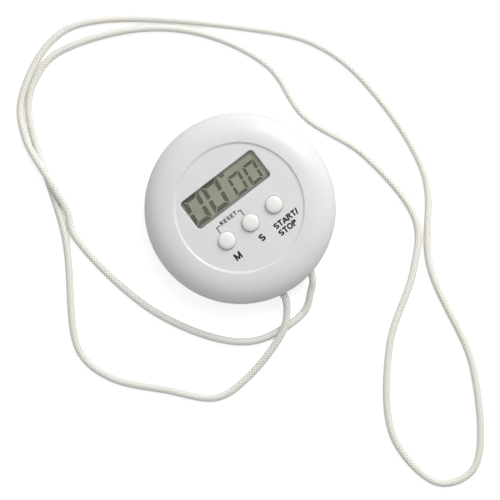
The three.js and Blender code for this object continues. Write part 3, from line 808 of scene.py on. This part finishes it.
def labels():
    outlines = word("M", -11.35, -8.8, -13.85, 2.5, 0.56)
    outlines += word("S", -0.95, 1.15, -13.85, 2.5, 0.6)
    outlines += word("START/", 5.3, 14.95, -13.5, 2.1, 0.51)
    outlines += word("STOP", 5.3, 12.5, -16.25, 2.1, 0.51)
    outlines += word("RESET", -8.4, -1.7, -1.35, 1.42, 0.31)
    outlines.append(stroke([(-10.2, -3.05), (-10.2, -0.85), (-8.75, -0.85)], 0.3))
    outlines.append(stroke([(-1.4, -0.85), (-0.2, -0.85), (-0.2, -3.05)], 0.3))
    return piece(flat_shape("face_labels", outlines, INK_Z, INK_TOP), ink, "case")


def digits():
    shapes = []
    for x in (-14.3, -6.5):
        shapes += zero(x, 3.15, 6.4, 10.1, 1.5, 0.5)
    for x in (2.55, 8.75):
        shapes += zero(x, 3.15, 4.9, 7.3, 1.0, 0.42)
    shapes += word("M", 1.05, 2.75, 11.55, 1.5, 0.3)
    made = flat_shape("display_digits", shapes, FILM_TOP, DIGIT_TOP_Z)
    return piece(made, segment_ink(), "case")


def display():
    low, high = 2.95, WINDOW_Y + 5.7
    edge = [(0, FILM_Z), (0, FILM_TOP - 0.04), (-0.04, FILM_TOP)]
    sheet = slab("display_film", FILM_W, high - low, (low + high) / 2, 0.2, edge)
    piece(sheet, film(), "case", ["lcd_front_polariser"])
    digits()
    size = (WINDOW_W - 2 * LENS_GAP, WINDOW_H - 2 * LENS_GAP, WINDOW_Y, WINDOW_CORNER - LENS_GAP)
    rounded = [(0, FLANGE_Z), (0, LENS_Z - 0.2), (-0.06, LENS_Z - 0.06), (-0.2, LENS_Z)]
    lens = slab("window_lens", *size, rounded)
    flange = slab("flange", FLANGE_W, FLANGE_H, WINDOW_Y, 1, [(0, FLANGE_Z), (0, CEILING_Z)])
    join(lens, [flange])
    piece(lens, clear_plastic(), "case", ["display_window"])


# ---------- buttons ----------


def button(name, place):
    profile = softened(
        [
            (0, PLUNGER_Z, 0), (1.5, PLUNGER_Z, 0.1), (1.5, 12.7, 0), (4, 12.7, 0.1), (4, 13.4, 0.1),
            (BUTTON_R, 13.4, 0.1), (BUTTON_R, CAP_LOW, 0),
        ]
    )
    for a in np.linspace(0, TAU / 4, 25)[1:]:
        across, up = max(math.cos(a), 0) ** 0.8, math.sin(a) ** 0.8
        profile.append((BUTTON_R * across, CAP_LOW + (CAP_TOP - CAP_LOW) * up))
    made = lathe(f"button_{name}_cap", profile, 96, (place * BUTTON_PITCH, BUTTON_Y))
    piece(made, button_white, f"{name}_key", [f"button_{name}"])


def return_dome(name, place):
    """The silicone dome under a button."""
    x, y = place * BUTTON_PITCH, BUTTON_Y
    low, roof, top = DOME_FOOT_Z, DOME_FOOT_Z + 1.4, PLUNGER_Z
    profile = softened(
        [
            (1.4, roof, 0), (2.8, low + 0.4, 0.2), (2.8, low, 0), (3.4, low, 0.1), (3.4, low + 0.5, 0.2),
            (1.9, low + 1.9, 0.3), (1.5, top, 0.15), (0, top, 0),
        ]
    )
    made = lathe(f"silicone_dome_{name}", [(0, roof), *profile], 64, (x, y))
    made.data.materials.append(silicone)
    made.data.polygons.foreach_set("use_smooth", [True] * len(made.data.polygons))
    made.data.set_sharp_from_angle(angle=math.radians(40))
    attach(made, "case")
    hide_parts(f"return_dome_{name}")
    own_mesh(made)


# ---------- cord ----------


def smooth_line(points, step):
    """A centripetal Catmull-Rom curve through points, as points a step apart along it."""
    p = np.array(points, float)
    p = np.vstack([2 * p[0] - p[1], p, 2 * p[-1] - p[-2]])
    dense = []
    for a, b, c, d in zip(p, p[1:], p[2:], p[3:]):
        t1 = np.linalg.norm(b - a) ** 0.5
        t2 = t1 + np.linalg.norm(c - b) ** 0.5
        t3 = t2 + np.linalg.norm(d - c) ** 0.5
        t = np.linspace(t1, t2, 80, endpoint=False)[:, None]
        a1 = a + (b - a) * t / t1
        a2 = b + (c - b) * (t - t1) / (t2 - t1)
        a3 = c + (d - c) * (t - t2) / (t3 - t2)
        b1, b2 = a1 + (a2 - a1) * t / t2, a2 + (a3 - a2) * (t - t1) / (t3 - t1)
        dense.append(b1 + (b2 - b1) * (t - t1) / (t2 - t1))
    line = np.vstack([*dense, p[-2]])
    line[:, 2] = np.maximum(line[:, 2], CORD_FLOOR)
    run = np.concatenate([[0], np.cumsum(np.linalg.norm(np.diff(line, axis=0), axis=1))])
    count = int(round(run[-1] / step))
    wanted = np.linspace(0, run[-1], count + 1)
    return np.column_stack([np.interp(wanted, run, line[:, k]) for k in range(3)]), run[-1]


def carried_frames(line):
    """Two unit normals along a line that turn as little as possible."""
    tangent = np.gradient(line, axis=0)
    tangent /= np.linalg.norm(tangent, axis=1)[:, None]
    normal = np.cross(tangent[0], (0, 0, 1.0))
    normals = []
    for t in tangent:
        normal = normal - t * (normal @ t)
        normal /= np.linalg.norm(normal)
        normals.append(normal)
    normals = np.array(normals)
    return normals, np.cross(tangent, normals)


def braid_height(around, along):
    """Height of the plaited surface, from 0 in the gaps to 1 on a yarn, at yarn coordinates."""
    right, left = around - along, around + along

    def crown(x):
        return np.sqrt(np.clip(1 - (2 * (x - np.floor(x)) - 1) ** 2, 0, 1))

    over = np.cos(np.pi * (np.floor(right) + np.floor(left)))
    lift_right = crown(left) * over
    lift_left = -crown(right) * over
    rise = np.maximum(0.55 * crown(right) + 0.45 * lift_right, 0.55 * crown(left) + 0.45 * lift_left)
    return np.clip(rise, 0, 1)


CORD_SIDES = 32
CORD_STEP = 0.3
BRAID_DEPTH = 0.3


def neck_cord():
    ends = [(-CORD_X, CORD_INNER_Y, HOLE_Z), (-CORD_X, HOLE_Y, HOLE_Z)]
    back = [(-x, y, z) for x, y, z in reversed(ends)]
    line, length = smooth_line([*ends, *CORD_ROUTE, *back], CORD_STEP)
    first, second = carried_frames(line)
    rows, sides = len(line), CORD_SIDES
    a = TAU * np.arange(sides) / sides
    around = YARNS * np.arange(sides) / sides
    along = np.linspace(0, length * YARNS / PLAIT_MM, rows)
    height = braid_height(around[None, :], along[:, None])
    radius = CORD_R - BRAID_DEPTH * (1 - height)
    ring_dirs = first[:, None, :] * np.cos(a)[None, :, None] + second[:, None, :] * np.sin(a)[None, :, None]
    points = (line[:, None, :] + ring_dirs * radius[:, :, None]).reshape(-1, 3) * MM
    index = np.arange(rows * sides).reshape(rows, sides)
    turned = np.roll(index, -1, axis=1)
    quads = np.stack([index[:-1], turned[:-1], turned[1:], index[1:]], axis=-1).reshape(-1, 4)
    mesh = bpy.data.meshes.new("neck_cord_braid")
    caps = [list(map(int, index[0][::-1])), list(map(int, index[-1]))]
    mesh.from_pydata(points.tolist(), [], quads.tolist() + caps)
    mesh.update()
    uv = mesh.uv_layers.new(name="weave")
    u0 = np.tile(around, rows - 1)
    v0 = np.repeat(along[:-1], sides)
    du, dv = YARNS / sides, along[1] - along[0]
    corners = np.stack([u0, v0, u0 + du, v0, u0 + du, v0 + dv, u0, v0 + dv], axis=-1).ravel()
    values = np.zeros(len(mesh.loops) * 2, np.float32)
    values[: len(corners)] = corners
    uv.data.foreach_set("uv", values)
    made = bpy.data.objects.new("neck_cord_braid", mesh)
    bpy.context.scene.collection.objects.link(made)
    material = braid_material()
    mesh.materials.append(material)
    mesh.polygons.foreach_set("use_smooth", [True] * len(mesh.polygons))
    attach(made, "case")
    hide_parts("neck_cord", "cord_end_left", "cord_end_right")
    knots = [stopper_knot(sign, side, material) for sign, side in ((-1, "left"), (1, "right"))]


def stopper_knot(sign, side, material):
    """The overhand knot behind a cord hole: a trefoil of tightly drawn cord."""
    t = np.linspace(0, TAU, 121)[:-1]
    x = np.sin(t) + 2 * np.sin(2 * t)
    y = np.cos(t) - 2 * np.cos(2 * t)
    z = -np.sin(3 * t)
    thick = 0.72
    line = np.column_stack([x * (KNOT_W - thick) / 3, z * (KNOT_D - thick), y * (KNOT_W - thick) / 3])
    line += (sign * CORD_X, KNOT_Y, HOLE_Z)
    forward = np.roll(line, -1, axis=0) - np.roll(line, 1, axis=0)
    forward /= np.linalg.norm(forward, axis=1)[:, None]
    side_dir = np.cross(forward, (0, 1.0, 0))
    side_dir /= np.linalg.norm(side_dir, axis=1)[:, None]
    third = np.cross(forward, side_dir)
    sides = 14
    points, faces = [], []
    for i, here in enumerate(line):
        for k in range(sides):
            a = TAU * k / sides
            points.append(here + thick * (side_dir[i] * math.cos(a) + third[i] * math.sin(a)))
    rows = len(line)
    for i in range(rows):
        n = (i + 1) % rows
        for k in range(sides):
            m = (k + 1) % sides
            faces.append([i * sides + k, i * sides + m, n * sides + m, n * sides + k])
    knot = to_object(f"stopper_knot_{side}", points, faces)
    return piece(knot, material, "case", [f"cord_knot_{side}"])


# ---------- screws and cell ----------


def screw(name, at, head, head_z, seat_z, shank, tip_z, node):
    chamfer = 0.3
    profile = softened(
        [
            (0, head_z, 0), (head - 0.1, head_z, 0.4), (head, head_z + chamfer, 0.15),
            (head, seat_z, 0), (shank, seat_z, 0),
        ]
    )
    z = seat_z
    while z + 0.5 < tip_z - shank:
        profile += [(shank, z + 0.1), (shank * 0.86, z + 0.3), (shank, z + 0.5)]
        z += 0.5
    profile += [(shank * 0.86, tip_z - shank), (0, tip_z)]
    made = lathe(name, profile, 48, at)
    arm, half = head * 0.62, head * 0.13
    floor_z = head_z + (seat_z - head_z) * 0.6
    x, y = at
    slots = [
        block("slot", x - arm, x + arm, y - half, y + half, head_z - 1, floor_z),
        block("slot", x - half, x + half, y - arm, y + arm, head_z - 1, floor_z),
    ]
    cut(made, slots)
    return piece(made, screw_metal, "case", [node])


def button_cell():
    top = CELL_Z + CELL_H
    profile = softened(
        [
            (0, CELL_Z, 0), (CELL_R, CELL_Z, 0.35), (CELL_R, top - 0.75, 0.3),
            (CELL_R - 0.35, top - 0.3, 0.15), (4.5, top - 0.3, 0.05), (4.4, top - 0.12, 0),
            (4.2, top, 0.12), (0, top, 0),
        ]
    )
    made = lathe("cell_can", profile, 128, (0, CELL_Y))
    bar = 0.35
    plus = [
        block("plus", -2, 2, CELL_Y - bar, CELL_Y + bar, CELL_Z - 1, CELL_Z + 0.1),
        block("plus", -bar, bar, CELL_Y - 2, CELL_Y + 2, CELL_Z - 1, CELL_Z + 0.1),
    ]
    cut(made, plus)
    return piece(made, cell_metal, "case", ["button_cell"])


# ---------- materials of the CAD nodes that stay ----------

screw_metal = metal("screw_steel", (0.58, 0.59, 0.6), 0.3)
cell_metal = metal("bright_steel", (0.72, 0.72, 0.7), 0.18, 0.008)
silicone = rubbery("silicone", (0.55, 0.57, 0.55))
epoxy = plastic("epoxy_black", (0.02, 0.02, 0.023), 0.3, 0.3, 0.5, 0.08, 0.2)
glass_edge = plastic("display_glass", (0.66, 0.67, 0.61), 0.15, 0.04, 0.5, 0.01, 0.2)

KEPT = {
    "lcd_front_glass": glass_edge,
    "lcd_rear_glass": glass_edge,
    "lcd_reflector": metal("reflector_foil", (0.7, 0.71, 0.69), 0.35),
    "lcd_frame": frame_white,
    "elastomer_strip_upper": silicone,
    "elastomer_strip_lower": silicone,
    "circuit_board": circuit_green(),
    "chip_blob": epoxy,
    "resistor": epoxy,
    "clock_crystal": cell_metal,
    "capacitor": plastic("capacitor_tan", (0.45, 0.3, 0.14), 0.4, 0.15, 0.3, 0.05, 0),
    "buzzer_disc": metal("buzzer_brass", (0.7, 0.5, 0.2), 0.25),
    "buzzer_ceramic": plastic("buzzer_ceramic", (0.75, 0.72, 0.64), 0.5, 0.08, 0.2, 0.05, 0),
    "buzzer_wire_red": plastic("wire_red", (0.5, 0.02, 0.02), 0.4, 0.1, 0.3, 0.05, 0),
    "buzzer_wire_black": plastic("wire_black", (0.02, 0.02, 0.02), 0.4, 0.2, 0.3, 0.05, 0),
    "negative_contact": cell_metal,
    "positive_contact": cell_metal,
}
carbon = rubbery("carbon_pill", (0.03, 0.03, 0.03), 0.75)
for name in BUTTONS:
    KEPT[f"contact_pill_{name}"] = carbon


def dress_kept_nodes():
    for name, material in KEPT.items():
        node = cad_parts[name]
        node.data.materials.clear()
        node.data.materials.append(material)


# ---------- table, lights and look ----------


def table():
    half = 3000
    made = block("table", -half, half, -half, half, -20, 0)
    made.data.materials.append(table_top())


def lamp(name, place, size, power, aim=(0, 0, 0)):
    """A square soft light, with its place in metres from the timer."""
    data = bpy.data.lights.new(name, "AREA")
    data.shape = "SQUARE"
    data.size = size
    data.energy = power
    made = bpy.data.objects.new(name, data)
    place = Vector(place)
    direction = Vector(aim) - place
    made.visible_camera = False
    made.matrix_world = Matrix.Translation(place) @ direction.to_track_quat("-Z", "Y").to_matrix().to_4x4()
    bpy.context.scene.collection.objects.link(made)


def in_picture(right, up, height):
    """A place given by how far it is to the picture's right and top, and above the table."""
    c, s = math.cos(VIEW_TURN), math.sin(VIEW_TURN)
    return (right * c + up * s, -right * s + up * c, height)


ROOM_LIGHT = 0.54


def lights():
    lamp("key", in_picture(0.17, 0.27, 0.2), size=0.2, power=0.8)
    lamp("fill", in_picture(0.5, 1.0, 1.3), size=0.9, power=11.5)
    world = bpy.data.worlds.new("studio")
    world.use_nodes = True
    background = world.node_tree.nodes["Background"]
    background.inputs["Color"].default_value = (1, 1, 1, 1)
    background.inputs["Strength"].default_value = ROOM_LIGHT
    bpy.context.scene.world = world
    view = bpy.context.scene.view_settings
    view.view_transform = "Standard"
    view.look = "None"


# ---------- assembly ----------

neck_cord()
front_shell()
back_shell()
battery_door()
display()
labels()
for button_name, button_place in BUTTONS.items():
    button(button_name, button_place)
    return_dome(button_name, button_place)
for i, place in enumerate(CASE_SCREWS, 1):
    screw(f"case_screw_{i}_fine", place, node=f"case_screw_{i}", **CASE_SCREW_SIZE)
for i, place in enumerate(BOARD_SCREWS, 1):
    screw(f"board_screw_{i}_fine", place, node=f"board_screw_{i}", **BOARD_SCREW_SIZE)
button_cell()
dress_kept_nodes()
table()
lights()
